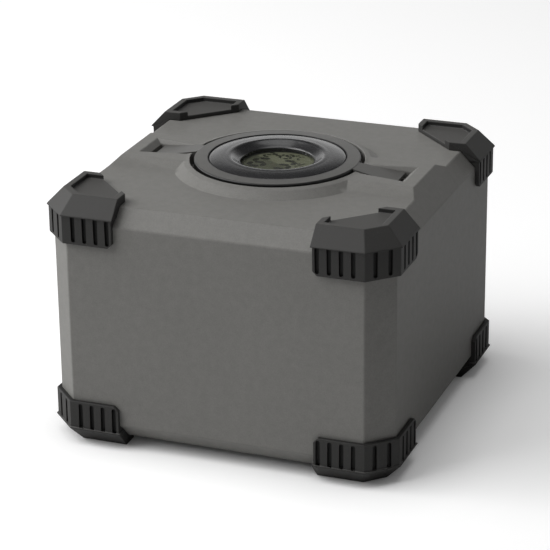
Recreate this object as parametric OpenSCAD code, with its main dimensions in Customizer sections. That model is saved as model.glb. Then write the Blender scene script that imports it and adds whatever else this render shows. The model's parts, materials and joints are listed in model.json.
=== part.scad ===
// Hearing aid dryer: a square moulded body with rubber corner bumpers, a round
// winged lid that carries a hygrometer, and a sealed drying chamber below it.
// The origin is under the middle of the body, on the surface that it stands on.

/* [Body] */
// Width of the body, without the bumpers
body_w = 118; // [112:1:150]
// Depth of the body, without the bumpers
body_d = 118; // [112:1:150]
// Height of the body from its underside to its deck
body_h = 81.1; // [72:0.1:110]
// Wall of the moulding
wall = 3; // [2.2:0.1:3.6]
// Length that each upright corner chamfer takes off a side
corner_cut = 8; // [6:0.5:10]
// How far the sloped edge round the deck and the underside runs inward
edge_run = 5.2; // [4:0.1:6]
// How far the same sloped edge runs upward
edge_rise = 5.6; // [4.5:0.1:7]

/* [Raised band and boss] */
// Height of the band and the boss above the deck
band_rise = 2.3; // [1.6:0.1:3]
// Width of the flat top of the band
band_w = 24; // [20:1:30]
// Run of the slope on each side of the band
band_slope = 5.5; // [3:0.5:7]
// Flat land of the boss outside the lid pocket
boss_land = 2; // [1.5:0.1:3]
// Run of the slope round the boss
boss_slope = 3.5; // [2:0.5:5]
// Extra height of the land at the lip of the pocket
lip_rise = 0.5; // [0:0.1:0.8]

/* [Lid] */
// Diameter of the hygrometer's bezel
meter_d = 46; // [44:0.5:48]
// Gap round the bezel
meter_gap = 0.3; // [0.2:0.05:0.5]
// Width of the lid's ring round the bezel
ring_w = 4.8; // [4:0.1:6]
// Height of the ring's edge above the deck
lid_rise = 3.2; // [3:0.1:3.8]
// Gap between the ring and the pocket's wall
lid_gap = 1.4; // [1:0.1:2]
// Depth of the pocket and the channels below the deck
pocket_deep = 1.6; // [1.2:0.1:2.4]
// Length of each wing beyond the ring
wing_len = 15.3; // [12:0.1:16]
// Width of a wing where it leaves the ring
wing_root = 7.2; // [6:0.1:8]
// Width of a wing at its tip
wing_tip = 11.2; // [9:0.1:12]
// Height of a wing's tip above the deck
tip_rise = 0.6; // [0.3:0.1:1]
// Gap along the sides of a wing
wing_gap = 0.35; // [0.25:0.05:0.5]
// Gap for a fingernail beyond a wing's tip
nail_gap = 1.8; // [1.4:0.1:2.4]
// Lean of the channel's side walls from upright, in degrees
side_lean = 32; // [20:1:40]
// Lean of the channel's end wall from upright, in degrees
end_lean = 50; // [40:1:55]

/* [Bumpers] */
// How far a bumper stands out from the body
bumper_out = 2; // [1.6:0.1:2.6]
// Length of each leg, from where the two body faces would meet
bumper_leg = 25.3; // [22:0.1:28]
// Distance along both legs at which the top plate is cut across
bumper_cross = 34.5; // [32:0.1:37]
// Height of the bumper's rim above the deck or below the underside
bumper_over = 3; // [2.4:0.1:3.6]
// Depth of the recess inside the rim
bumper_recess = 1.5; // [1:0.1:1.8]
// Width of the rim
rim_w = 2.2; // [1.6:0.1:2.8]
// Setback of the rim from the body's face
rim_inset = 3.4; // [2.6:0.1:4]
// Drop from the deck to the lower edge of the sloped faces
facet_drop = 2.75; // [2.4:0.05:3.2]
// Height of the ribbed band, down to the end of the bumper
rib_h = 9.9; // [8:0.1:11]
// Overhang of the sloped faces over the ribbed band
rib_step = 0.5; // [0.3:0.05:0.7]
// Number of grooves on each long leg
groove_count = 4; // [3:1:4]
// Spacing of the grooves
groove_pitch = 4; // [3.6:0.1:4.2]
// Width of a groove
groove_w = 1.45; // [1:0.05:1.8]
// Depth of a groove
groove_deep = 1.1; // [0.8:0.1:1.3]
// Diameter of the peg that holds a bumper
peg_d = 3.6; // [3:0.1:4]

/* [Chamber] */
// Diameter of the chamber's bore
well_d = 49.6; // [48:0.1:51]
// Wall of the chamber cup
cup_wall = 2.2; // [1.8:0.1:2.6]
// Thickness of the chamber's gasket
gasket_t = 1.5; // [1:0.1:2]
// Thickness of the base plate
base_t = 3; // [2.4:0.1:3.6]
// Height of the ring on the base plate that carries the cup
cup_stand = 3.8; // [3:0.1:5]
// Running gap of the pieces that lift out of the chamber
lift_gap = 0.6; // [0.4:0.05:0.8]

/* [Lid inside] */
// Depth of the skirt below the deck
skirt_deep = 9.4; // [9:0.1:10.5]
// Wall of the skirt
skirt_wall = 2.6; // [2.4:0.1:2.8]
// Thickness of the sealing ring's cord
seal_d = 2.2; // [2:0.1:2.4]
// Fit of the sealing ring in the bore
seal_fit = 0.05; // [0.02:0.01:0.1]

/* [Hygrometer] */
// Height of the bezel's crest above the deck
crest_rise = 4.1; // [3.9:0.1:4.6]
// Diameter of the bezel's crest
crest_d = 32; // [30:0.5:34]
// Diameter of the round display opening
view_d = 24.8; // [22:0.1:26]
// Height of the rim round the display opening above the deck
rim_rise = 1.9; // [1.8:0.1:2.2]
// Height of the display window's face above the deck
window_rise = 1; // [0.8:0.1:1.4]
// Thickness of the display window
window_t = 0.6; // [0.5:0.1:0.8]
// Depth of the meter's housing below the deck
meter_deep = 12; // [11.5:0.1:12.5]
// Wall of the meter's housing
meter_wall = 1.4; // [1.2:0.1:1.6]
// Side of the display panel
panel_side = 26; // [24:0.5:27]
// Diameter of a button cell
cell_d = 11.6; // [11:0.1:12]
// Height of a button cell
cell_h = 5.4; // [5:0.1:5.6]
// Diameter of the battery cover
cover_d = 28; // [27:0.1:29]

/* [Drying basket and canister] */
// Height of the desiccant canister
canister_h = 22; // [18:0.5:23]
// Wall of the canister
canister_wall = 1.5; // [1.2:0.1:2]
// Number of vents in the canister's cover
vent_count = 12; // [8:1:16]
// Head room between the divider's grip and the hygrometer
head_room = 5.1; // [4:0.1:10]
// Wall of the basket
basket_wall = 1.4; // [1.2:0.1:1.8]
// Number of slots round the basket
slot_count = 16; // [12:1:18]
// Height of the basket's feet
basket_foot = 2; // [1.6:0.1:2.4]
// Thickness of the divider
divider_t = 1.4; // [1.2:0.1:1.8]
// Height of the divider's grip above the basket's rim
grip_rise = 5; // [3:0.5:6]

/* [Fasteners] */
// Diameter of a base screw's thread
screw_d = 3; // [2.5:0.1:3.2]
// Diameter of a base screw's head
screw_head_d = 5.6; // [5:0.1:6]
// Distance of a base screw from the middle, along both sides
screw_at = 36; // [34:0.5:37]

/* [Hidden] */
$fn = 96;
// Signs of the corners: front right, front left, back left, back right
corners = [[1, -1], [-1, -1], [-1, 1], [1, 1]];

body_colour = [0.47, 0.465, 0.45];
rubber_colour = [0.2, 0.2, 0.19];
bezel_colour = [0.16, 0.16, 0.17];

// Cuts run past the faces that they open by this much
over = 1;
// Small gap between rigid pieces that are assembled and then stay
seat_gap = 0.2;

// Heights of the body
underside = bumper_over;
deck = underside + body_h;
band_top = deck + band_rise;
overall_h = deck + bumper_over;
middle_h = overall_h / 2;
// Distance of a corner chamfer from the middle
corner_at = (body_w / 2 + body_d / 2 - corner_cut) / sqrt(2);
// Run of the sloped edge carried on up to the band's top
edge_run_high = edge_run * (edge_rise + band_rise) / edge_rise;

// Sideways offset of a corner from the diagonal when the sides differ
corner_skew = (body_d - body_w) / 2 / sqrt(2);

// Heights and small sizes of a top bumper
lip_z = deck - facet_drop;
rib_end = lip_z - rib_h;
// Height of the lip under the sloped faces
lip_h = 0.4;
// Bevel at the lower outer corner of each leg
leg_bevel = 1.6;
// Distance of the grooves' closed ends from the bumper's end
groove_end = 0.8;
// Fit of the peg in its hole, its barb, and its length behind the body's face
peg_fit = 0.05;
peg_play = 1.2;
peg_len = wall + peg_play;
barb_l = 2;
barb_over = 0.5;
peg_z = rib_end + peg_d / 2 + 0.15;
peg_from_middle = peg_z - middle_h;

// Radii of the lid, its pocket and the boss round it
bezel_r = meter_d / 2;
meter_bore_r = bezel_r + meter_gap;
ring_r = meter_bore_r + ring_w;
pocket_r = ring_r + lid_gap;
boss_r = pocket_r + boss_land;
pocket_floor = deck - pocket_deep;
tip_x = ring_r + wing_len;
channel_end = tip_x + nail_gap;
wing_flare = (wing_tip - wing_root) / 2 / wing_len;

// Levels and radii of the chamber
well_r = well_d / 2;
tub_end = pocket_floor - wall;
cup_r = well_r + cup_wall;
cup_top = tub_end - gasket_t;
base_top = underside + base_t;
cup_foot = base_top + cup_stand;
cup_floor_t = cup_wall;
cup_floor = cup_foot + cup_floor_t;
// Dish that the cup stands in, let into the base plate
seat_wall = 2;
seat_lip = 4;
seat_floor_t = 1;
seat_r = cup_r + seat_gap + seat_wall;
// Ring under the pocket that centres the top of the cup
socket_r = cup_r + seat_gap;
socket_wall = 2;
socket_deep = 5;

// Screws, their pillars and the stiffening ribs
screw_len = 12;
screw_head_t = 1.8;
screw_fit = 0.02;
pillar_r = screw_d / 2 + 2.5;
pillar_h = deck - wall / 2 - base_top;
rib_t = 2;
// The corner ribs stay clear of the bumpers' pegs
corner_rib_h = 2 * peg_from_middle - 2 * peg_d - 5;

// Opening in the underside that takes the base plate
base_land = 3.6;
base_half_w = body_w / 2 - edge_run - base_land;
base_half_d = body_d / 2 - edge_run - base_land;
base_cross = bumper_cross + 2;
base_corner_at = (body_w / 2 + body_d / 2 - base_cross) / sqrt(2);

// Levels and radii of the lid's skirt
meter_r = bezel_r - 2;
skirt_in_r = meter_r + meter_gap;
skirt_r = skirt_in_r + skirt_wall;
skirt_end = deck - skirt_deep;
step_z = deck + 1.6;
seal_r = well_r - seal_fit - seal_d / 2;
seal_rise = 2;
seal_z = skirt_end + seal_rise;

// Levels of the hygrometer, from the window downward
window_ledge = 1.2;
window_top = deck + window_rise;
window_r = view_d / 2 + window_ledge;
window_z = window_top - window_t;
panel_t = 1.7;
panel_z = window_z - panel_t;
board_t = 1.6;
board_z = panel_z - board_t;
meter_floor = deck - meter_deep;
meter_floor_t = 1.4;
meter_in_r = meter_r - meter_wall;
board_ledge = 1.2;
plug_ring_w = 0.8;
cover_flange_t = 0.7;
cover_step = 1.3;
cover_t = 1.8;
cover_plug_r = cover_d / 2 - cover_step;
cover_in = meter_floor + cover_t;
coin_slot_l = 14;
coin_slot_w = 1.6;
coin_slot_deep = 0.9;

// Levels of what stands in the chamber
lift_r = well_r - lift_gap;
canister_top = cup_floor + canister_h;
canister_lid_t = 1.5;
plug_deep = 2;
plug_wall = 1.2;
basket_base = canister_top + basket_foot;
basket_floor_t = 1.5;
basket_step = basket_base + basket_floor_t / 2;
basket_in_r = lift_r - basket_wall;
grip_top = meter_floor - head_room;
basket_top = grip_top - grip_rise;

// A prism whose outline, given outward and upward from a wall, runs along it
module wall_prism(angle, at, outline) {
    rotate([0, 0, angle])
        translate([at, 0, 0])
            rotate([90, 0, 0])
                linear_extrude(height = 4 * body_w, center = true)
                    polygon(outline);
}

// Mirror image of an outline about the height axis, joined to the outline
function both_sides(outline) = concat(
    outline,
    [for (i = [len(outline) - 1 : -1 : 0]) [-outline[i][0], outline[i][1]]]);

// Wall outline with a sloped edge at the top and at the bottom
function edged(half, low, high) = both_sides([
    [half - edge_run, low], [half, low + edge_rise],
    [half, high - edge_rise], [half - edge_run, high]]);

// The same outline with the sloped edge carried on up to the band's top
function edged_high(half) = both_sides([
    [half - edge_run, underside],
    [half, underside + edge_rise],
    [half, deck - edge_rise],
    [half - edge_run_high, band_top]]);

// Outline from front to back, with the raised band across it
function banded(half) = both_sides([
    [half - edge_run, underside],
    [half, underside + edge_rise],
    [half, deck - edge_rise],
    [half - edge_run, deck],
    [band_w / 2 + band_slope, deck],
    [band_w / 2, band_top]]);

// The four corner chamfers at a distance from the middle. Their faces are
// upright below the height fold_z and slope inward above it.
module corner_fold(at, fold_z) {
    outline = both_sides([
        [at, -2 * overall_h], [at, 0], [at - 3 * edge_run, 3 * edge_rise]]);
    translate([0, 0, fold_z])
        intersection() {
            wall_prism(45, 0, outline);
            wall_prism(-45, 0, outline);
        }
}

// Outer form of the body with its raised band
module body_form() {
    intersection() {
        wall_prism(0, 0, edged_high(body_w / 2));
        wall_prism(90, 0, banded(body_d / 2));
        corner_fold(corner_at, deck - edge_rise);
        translate([0, 0, underside + edge_rise])
            mirror([0, 0, 1])
                corner_fold(corner_at, 0);
    }
}

// Round boss that carries the lid's pocket
module boss_form() {
    rotate_extrude()
        polygon([
            [0, deck - wall],
            [boss_r + boss_slope, deck - wall],
            [boss_r + boss_slope, deck],
            [boss_r, band_top],
            [pocket_r, band_top + lip_rise],
            [0, band_top + lip_rise]]);
}

// Form that lies inside the body by a distance and stands on the base plate
module inner_form(inset) {
    high = deck - inset;
    intersection() {
        wall_prism(0, 0, edged(body_w / 2 - inset, base_top, high));
        wall_prism(90, 0, edged(body_d / 2 - inset, base_top, high));
        corner_fold(corner_at - inset, high - edge_rise);
        translate([0, 0, base_top + edge_rise])
            mirror([0, 0, 1])
                corner_fold(corner_at - inset, 0);
    }
}

// Plan of the base plate, smaller than its opening by a gap
module base_plan(gap) {
    intersection() {
        square([2 * (base_half_w - gap), 2 * (base_half_d - gap)], center = true);
        rotate(45)
            square(2 * (base_corner_at - gap), center = true);
    }
}

// Half width of a wing at a distance from the middle, plus a gap
function wing_half(x, gap) = wing_root / 2 + (x - ring_r) * wing_flare + gap;

// Plan of a wing or of the channel round it
module wing_plan(from, to, gap) {
    polygon([
        [from, -wing_half(from, gap)], [to, -wing_half(to, gap)],
        [to, wing_half(to, gap)], [from, wing_half(from, gap)]]);
}

// Sloped side wall of a channel, as everything on its inner side
module channel_side() {
    root_extra = 0.15;
    tip_extra = 1.1;
    root_half = wing_half(ring_r, wing_gap) + root_extra;
    end_half = wing_half(channel_end, wing_gap) + tip_extra;
    turn = atan2(end_half - root_half, channel_end - ring_r);
    translate([ring_r, root_half, band_top])
        rotate([0, 0, turn])
            rotate([-side_lean, 0, 0])
                translate([-body_w, -body_w, -body_w])
                    cube([2 * body_w, body_w, 2 * body_w]);
}

// Room for one wing: an upright slot that opens out into a sloped scoop
module channel_cut() {
    start = well_r - 1;
    translate([0, 0, pocket_floor])
        linear_extrude(height = pocket_deep + band_rise + lip_rise + over)
            wing_plan(start, channel_end, wing_gap);
    intersection() {
        channel_side();
        mirror([0, 1, 0])
            channel_side();
        translate([channel_end, 0, deck + tip_rise])
            rotate([0, end_lean, 0])
                translate([-body_w, -body_w / 2, -body_w])
                    cube([body_w, body_w, 2 * body_w]);
        translate([start, -band_w, pocket_floor])
            cube([body_w / 2, 2 * band_w, pocket_deep + band_rise + lip_rise + over]);
    }
}

// Thickening under the pocket and the channels
module pocket_tub() {
    translate([0, 0, tub_end])
        cylinder(r = pocket_r + wall, h = deck - tub_end);
    for (side = [0, 180])
        rotate([0, 0, side])
            translate([0, 0, tub_end])
                linear_extrude(height = deck - tub_end)
                    wing_plan(well_r, channel_end + wall, wing_gap + wall);
}

// Ring under the pocket that takes the top of the cup
module cup_socket() {
    difference() {
        translate([0, 0, tub_end - socket_deep])
            cylinder(r = socket_r + socket_wall, h = socket_deep + wall / 2);
        translate([0, 0, tub_end - socket_deep - over])
            cylinder(r = socket_r, h = socket_deep + over);
    }
}

// Places something at each of the four base screws
module at_screws() {
    for (x = [-1, 1], y = [-1, 1])
        translate([x * screw_at, y * screw_at, 0])
            children();
}

// Places a copy at the corner at right and back and its mirror images
module at_corners() {
    for (corner = corners)
        at_corner(corner)
            children();
}

// Mirrors what is made for the corner at right and back to another corner
module at_corner(corner) {
    mirror([corner[0] > 0 ? 0 : 1, 0, 0])
        mirror([0, corner[1] > 0 ? 0 : 1, 0])
            children();
}

// Places something on the diagonal that meets the middle of a corner chamfer
module on_diagonal() {
    rotate([0, 0, 45])
        translate([0, corner_skew, 0])
            children();
}

// Screw pillars inside the shell, each tied to its corner by a rib
module shell_pillars() {
    at_screws()
        translate([0, 0, base_top])
            cylinder(r = pillar_r, h = pillar_h);
    at_corners()
        translate([screw_at, screw_at, middle_h - corner_rib_h / 2])
            rotate([0, 0, 45])
                translate([pillar_r - rib_t / 2, -rib_t / 2, 0])
                    cube([corner_at - screw_at * sqrt(2) - pillar_r, rib_t, corner_rib_h]);
}

// Holes through the corner chamfers for the bumpers' pegs, with room behind
// them for the barbs
module peg_holes() {
    barb_room = barb_l + over;
    at_corners()
        on_diagonal()
            for (side = [-1, 1])
                translate([corner_at, 0, middle_h + side * peg_from_middle])
                    rotate([0, 90, 0]) {
                        translate([0, 0, -peg_len])
                            cylinder(d = peg_d + 2 * peg_fit, h = peg_len + over);
                        translate([0, 0, -peg_len - barb_room])
                            cylinder(d = peg_d + 4 * barb_over, h = barb_room + barb_over / 2);
                    }
}

module body_shell() {
    color(body_colour)
        difference() {
            union() {
                difference() {
                    union() {
                        body_form();
                        boss_form();
                    }
                    inner_form(wall);
                    translate([0, 0, underside - over])
                        linear_extrude(height = base_t + 2 * over)
                            base_plan(0);
                }
                pocket_tub();
                cup_socket();
                intersection() {
                    inner_form(wall / 2);
                    shell_pillars();
                }
            }
            translate([0, 0, pocket_floor])
                cylinder(r = pocket_r, h = pocket_deep + band_rise + lip_rise + over);
            translate([0, 0, tub_end - over])
                cylinder(r = well_r, h = pocket_floor - tub_end + 2 * over);
            for (side = [0, 180])
                rotate([0, 0, side])
                    channel_cut();
            peg_holes();
            at_screws()
                translate([0, 0, base_top - over])
                    cylinder(d = screw_d, h = screw_len - base_t + 2 * over);
        }
}

module base_plate() {
    color(body_colour)
        difference() {
            translate([0, 0, underside])
                linear_extrude(height = base_t)
                    base_plan(seat_gap);
            translate([0, 0, base_top - seat_floor_t])
                cylinder(r = seat_r + seat_gap, h = seat_floor_t + over);
            at_screws() {
                translate([0, 0, underside - over])
                    cylinder(d = screw_d + 2 * seat_gap, h = base_t + 2 * over);
                translate([0, 0, underside - over])
                    cylinder(d = screw_head_d + 2 * seat_gap, h = screw_head_t + over);
            }
        }
}

// A dish let into the base plate: its outer ring holds the cup, its inner ring bears it
module cup_seat() {
    bearing_r = cup_r - 4 * seat_wall;
    color(body_colour)
        difference() {
            translate([0, 0, base_top - seat_floor_t])
                cylinder(r = seat_r, h = seat_floor_t + cup_stand + seat_lip);
            translate([0, 0, cup_foot])
                cylinder(r = cup_r + seat_gap, h = seat_lip + over);
            difference() {
                translate([0, 0, base_top])
                    cylinder(r = cup_r - seat_wall, h = cup_stand + over);
                translate([0, 0, base_top - over])
                    cylinder(r = bearing_r, h = cup_stand + over);
            }
            translate([0, 0, base_top])
                cylinder(r = bearing_r - seat_wall, h = cup_stand + over);
        }
}

module base_screws() {
    color("silver")
        at_screws()
            translate([0, 0, underside])
                difference() {
                    union() {
                        cylinder(d = screw_head_d, h = screw_head_t);
                        cylinder(d = screw_d - 2 * screw_fit, h = screw_len);
                    }
                    for (turn = [0, 90])
                        rotate([0, 0, turn])
                            translate([-1.7, -0.4, -over])
                                cube([3.4, 0.8, over + 1]);
                }
}

module chamber_cup() {
    color([0.8, 0.8, 0.78])
        difference() {
            translate([0, 0, cup_foot])
                cylinder(r = cup_r, h = cup_top - cup_foot);
            translate([0, 0, cup_floor])
                cylinder(r = well_r, h = cup_top - cup_floor + over);
        }
}

module chamber_gasket() {
    color([0.15, 0.15, 0.15])
        difference() {
            translate([0, 0, cup_top])
                cylinder(r = cup_r, h = gasket_t);
            translate([0, 0, cup_top - over])
                cylinder(r = well_r, h = gasket_t + 2 * over);
        }
}

// Outline of a bumper outward and upward from a body face
function bumper_outline() = [
    [-bumper_leg, rib_end],
    [bumper_out - rib_step, rib_end],
    [bumper_out - rib_step, lip_z - lip_h],
    [bumper_out, lip_z - lip_h],
    [bumper_out, lip_z],
    [-rim_inset, overall_h],
    [-bumper_leg, overall_h]];

// The same outline at the corner chamfer, upward from the sloped faces' lower
// edge and carried on past the other faces above and below
function bumper_corner_outline() = [
    [-bumper_cross, -2 * rib_h],
    [bumper_out - rib_step, -2 * rib_h],
    [bumper_out - rib_step, -lip_h],
    [bumper_out, -lip_h],
    [bumper_out, 0],
    [bumper_out - 2 * (rim_inset + bumper_out), 2 * (overall_h - lip_z)],
    [-bumper_cross, 2 * (overall_h - lip_z)]];

// Side view of one leg, from the corner toward its end
function leg_outline(half) = [
    [half - bumper_leg + rib_step + leg_bevel, rib_end],
    [half + bumper_out + over, rib_end],
    [half + bumper_out + over, overall_h],
    [half - bumper_leg, overall_h],
    [half - bumper_leg, lip_z - lip_h],
    [half - bumper_leg + rib_step, lip_z - lip_h],
    [half - bumper_leg + rib_step, rib_end + leg_bevel]];

// Recess in the top plate, as seen from above, from the corner inward
module recess_plan() {
    near = rim_inset + rim_w;
    far = bumper_leg - rim_w;
    turn = corner_cut + near * (sqrt(2) - 1);
    polygon([[near, turn], [turn, near], [far, near], [far, far], [near, far]]);
}

// One groove of the ribbed band, cut inward from the face at x = 0 and
// downward from the lip at z = 0
module groove() {
    low = rib_end + groove_end + groove_w / 2 - lip_z + lip_h;
    translate([-groove_deep, -groove_w / 2, low])
        cube([groove_deep + over, groove_w, -low]);
    translate([-groove_deep, 0, low])
        rotate([0, 90, 0])
            cylinder(d = groove_w, h = groove_deep + over, $fn = 24);
}

// Grooves of the leg along one face, from its chamfer edge toward its end
module leg_grooves(half, edge) {
    for (i = [0 : groove_count - 1])
        translate([half + bumper_out - rib_step, edge - groove_pitch * (0.8 + i), lip_z - lip_h])
            groove();
}

// Top bumper of the corner at right and back; the others are its mirror images
module bumper_at_corner() {
    half_w = body_w / 2;
    half_d = body_d / 2;
    difference() {
        intersection() {
            wall_prism(0, half_w, bumper_outline());
            wall_prism(90, half_d, bumper_outline());
            translate([0, 0, lip_z])
                wall_prism(45, corner_at, bumper_corner_outline());
            wall_prism(0, 0, leg_outline(half_w));
            wall_prism(90, 0, leg_outline(half_d));
            wall_prism(45, (half_w + half_d - bumper_cross) / sqrt(2), [
                [0, 0], [body_w, 0], [body_w, 2 * overall_h], [0, 2 * overall_h]]);
        }
        body_form();
        translate([half_w, half_d, overall_h - bumper_recess])
            rotate([0, 0, 180])
                linear_extrude(height = bumper_recess + over)
                    recess_plan();
        leg_grooves(half_w, half_d - corner_cut);
        mirror([1, -1, 0])
            leg_grooves(half_d, half_w - corner_cut);
        translate([0, 0, lip_z - lip_h])
            on_diagonal()
                for (side = [-1, 1])
                    translate([corner_at + bumper_out - rib_step, side * groove_pitch * 0.65, 0])
                        groove();
    }
    translate([0, 0, peg_z])
        on_diagonal()
            rotate([0, 90, 0])
                bumper_peg();
}

// Peg with a barbed end that snaps in behind the wall
module bumper_peg() {
    translate([0, 0, corner_at - peg_len])
        cylinder(d = peg_d, h = peg_len + 0.2);
    translate([0, 0, corner_at - peg_len - barb_l])
        cylinder(d1 = peg_d - 2 * barb_over, d2 = peg_d + 2 * barb_over, h = barb_l);
}

module bumper(corner, upper) {
    color(rubber_colour)
        translate([0, 0, upper ? 0 : overall_h])
            mirror([0, 0, upper ? 0 : 1])
                at_corner(corner)
                    bumper_at_corner();
}

module lid_ring() {
    edge = 0.6;
    top_edge = 0.3;
    groove_half = seal_d / 2 + 0.1;
    groove_r = seal_r - seal_d / 2 - seal_fit;
    wing_low = pocket_floor + 0.5;
    color(body_colour)
        union() {
            rotate_extrude()
                polygon([
                    [skirt_in_r, skirt_end],
                    [skirt_r - edge, skirt_end],
                    [skirt_r, skirt_end + edge],
                    [skirt_r, seal_z - groove_half],
                    [groove_r, seal_z - groove_half],
                    [groove_r, seal_z + groove_half],
                    [skirt_r, seal_z + groove_half],
                    [skirt_r, pocket_floor],
                    [ring_r, pocket_floor],
                    [ring_r, deck + lid_rise - top_edge],
                    [ring_r - top_edge, deck + lid_rise],
                    [meter_bore_r, deck + lid_rise + 0.2],
                    [meter_bore_r, step_z],
                    [skirt_in_r, step_z]]);
            for (side = [0, 180])
                rotate([0, 0, side])
                    intersection() {
                        translate([0, 0, wing_low])
                            linear_extrude(height = deck + lid_rise - wing_low)
                                wing_plan(ring_r - 2, tip_x, 0);
                        wall_prism(0, 0, [
                            [ring_r - 3, wing_low],
                            [tip_x - 0.8, wing_low],
                            [tip_x, wing_low + 0.8],
                            [tip_x, deck + tip_rise],
                            [ring_r - edge, deck + lid_rise - 0.1],
                            [ring_r - 3, deck + lid_rise - 0.1]]);
                    }
        }
}

module lid_seal() {
    color([0.12, 0.12, 0.12])
        rotate_extrude()
            translate([seal_r, seal_z])
                circle(d = seal_d, $fn = 32);
}

module hygrometer_bezel() {
    plug_r = meter_in_r - seat_gap / 2;
    plug_end = panel_z + seat_gap;
    color(bezel_colour)
        rotate_extrude()
            polygon([
                [window_r + seat_gap / 2, window_z],
                [plug_r - plug_ring_w, window_z],
                [plug_r - plug_ring_w, plug_end],
                [plug_r, plug_end],
                [plug_r, step_z],
                [bezel_r, step_z],
                [bezel_r, deck + lid_rise - 0.1],
                [bezel_r - 0.5, deck + lid_rise + 0.3],
                [crest_d / 2 + 2, deck + crest_rise - 0.15],
                [crest_d / 2 + 0.6, deck + crest_rise],
                [crest_d / 2 - 0.4, deck + crest_rise - 0.15],
                [crest_d / 2 - 1.6, deck + crest_rise - 0.9],
                [view_d / 2 + 0.4, deck + rim_rise + 0.5],
                [view_d / 2, deck + rim_rise + 0.1],
                [view_d / 2, window_top],
                [window_r + seat_gap / 2, window_top]]);
}

module display_window() {
    color([0.75, 0.78, 0.75, 0.35])
        translate([0, 0, window_z])
            cylinder(r = window_r, h = window_t);
}

module lcd_panel() {
    cut = 2;
    half = panel_side / 2;
    color([0.55, 0.56, 0.43])
        translate([0, 0, panel_z])
            linear_extrude(height = panel_t)
                polygon([
                    [-half, -half], [half - cut, -half], [half, -half + cut], [half, half],
                    [-half, half]]);
}

module hygrometer_housing() {
    vent_r = (cover_d / 2 + meter_in_r - board_ledge) / 2;
    color([0.13, 0.13, 0.14])
        difference() {
            translate([0, 0, meter_floor])
                cylinder(r = meter_r, h = step_z - meter_floor);
            translate([0, 0, board_z])
                cylinder(r = meter_in_r, h = step_z - board_z + over);
            translate([0, 0, meter_floor + meter_floor_t])
                cylinder(r = meter_in_r - board_ledge, h = step_z - meter_floor);
            translate([0, 0, meter_floor - over])
                cylinder(r = cover_plug_r + seat_gap, h = meter_floor_t + 2 * over);
            translate([0, 0, meter_floor - over])
                cylinder(r = cover_d / 2 + seat_gap, h = cover_flange_t + over);
            for (turn = [-24 : 12 : 24])
                rotate([0, 0, 90 + turn])
                    translate([vent_r, 0, meter_floor - over])
                        cylinder(d = 1.6, h = meter_floor_t + 2 * over);
        }
}

module circuit_board() {
    color([0.1, 0.35, 0.2])
        translate([0, 0, board_z])
            cylinder(r = meter_in_r - 0.4, h = board_t);
}

module humidity_sensor() {
    side = 4.6;
    color([0.85, 0.85, 0.82])
        translate([-side / 2, cell_d / 2 + 3, board_z - 1.8])
            cube([side, side, 1.8]);
}

module button_cell(side) {
    rim = 0.6;
    color([0.75, 0.75, 0.74])
        translate([side * (cell_d / 2 + 0.4), 0, cover_in])
            rotate_extrude()
                polygon([
                    [0, 0], [cell_d / 2 - rim, 0], [cell_d / 2, rim],
                    [cell_d / 2, cell_h - rim], [cell_d / 2 - 1.2, cell_h - rim],
                    [cell_d / 2 - 1.2, cell_h], [0, cell_h]]);
}

module battery_cover() {
    color([0.13, 0.13, 0.14])
        difference() {
            union() {
                translate([0, 0, meter_floor])
                    cylinder(d = cover_d, h = cover_flange_t);
                translate([0, 0, meter_floor])
                    cylinder(r = cover_plug_r, h = cover_t);
            }
            translate([-coin_slot_l / 2, -coin_slot_w / 2, meter_floor - over])
                cube([coin_slot_l, coin_slot_w, over + coin_slot_deep]);
        }
}

// Vent bars of the basket's floor and the slots round its wall
module basket_slots() {
    slot_w = 3.4;
    slot_low = basket_base + basket_floor_t + 3;
    slot_high = basket_top - 4;
    for (i = [0 : slot_count - 1])
        rotate([0, 0, (i + 0.5) * 360 / slot_count])
            translate([lift_r - basket_wall - over, -slot_w / 2, slot_low])
                cube([basket_wall + 2 * over, slot_w, slot_high - slot_low]);
}

module floor_vents() {
    vent_pitch = 5;
    vent_w = vent_pitch / 2;
    intersection() {
        translate([0, 0, basket_base - over])
            cylinder(r = lift_r - 7.5, h = basket_floor_t + 2 * over);
        for (i = [-2.5 : 1 : 2.5])
            translate([i * vent_pitch - vent_w / 2, -lift_r, basket_base - over])
                cube([vent_w, 2 * lift_r, basket_floor_t + 2 * over]);
    }
}

module hearing_aid_basket() {
    color([0.88, 0.88, 0.86])
        difference() {
            translate([0, 0, basket_step])
                cylinder(r = lift_r, h = basket_top - basket_step);
            translate([0, 0, basket_step - over])
                cylinder(r = basket_in_r, h = basket_top - basket_step + 2 * over);
            basket_slots();
        }
}

// The basket's floor has a step that the wall stands on, and three feet
module basket_floor() {
    color([0.88, 0.88, 0.86])
        difference() {
            union() {
                translate([0, 0, basket_base])
                    cylinder(r = lift_r, h = basket_step - basket_base);
                translate([0, 0, basket_base])
                    cylinder(r = basket_in_r - seat_gap, h = basket_floor_t);
                for (turn = [30, 150, 270])
                    rotate([0, 0, turn])
                        translate([lift_r - 5, 0, canister_top])
                            cylinder(d = 4, h = basket_foot + basket_floor_t / 2);
            }
            floor_vents();
        }
}

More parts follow.
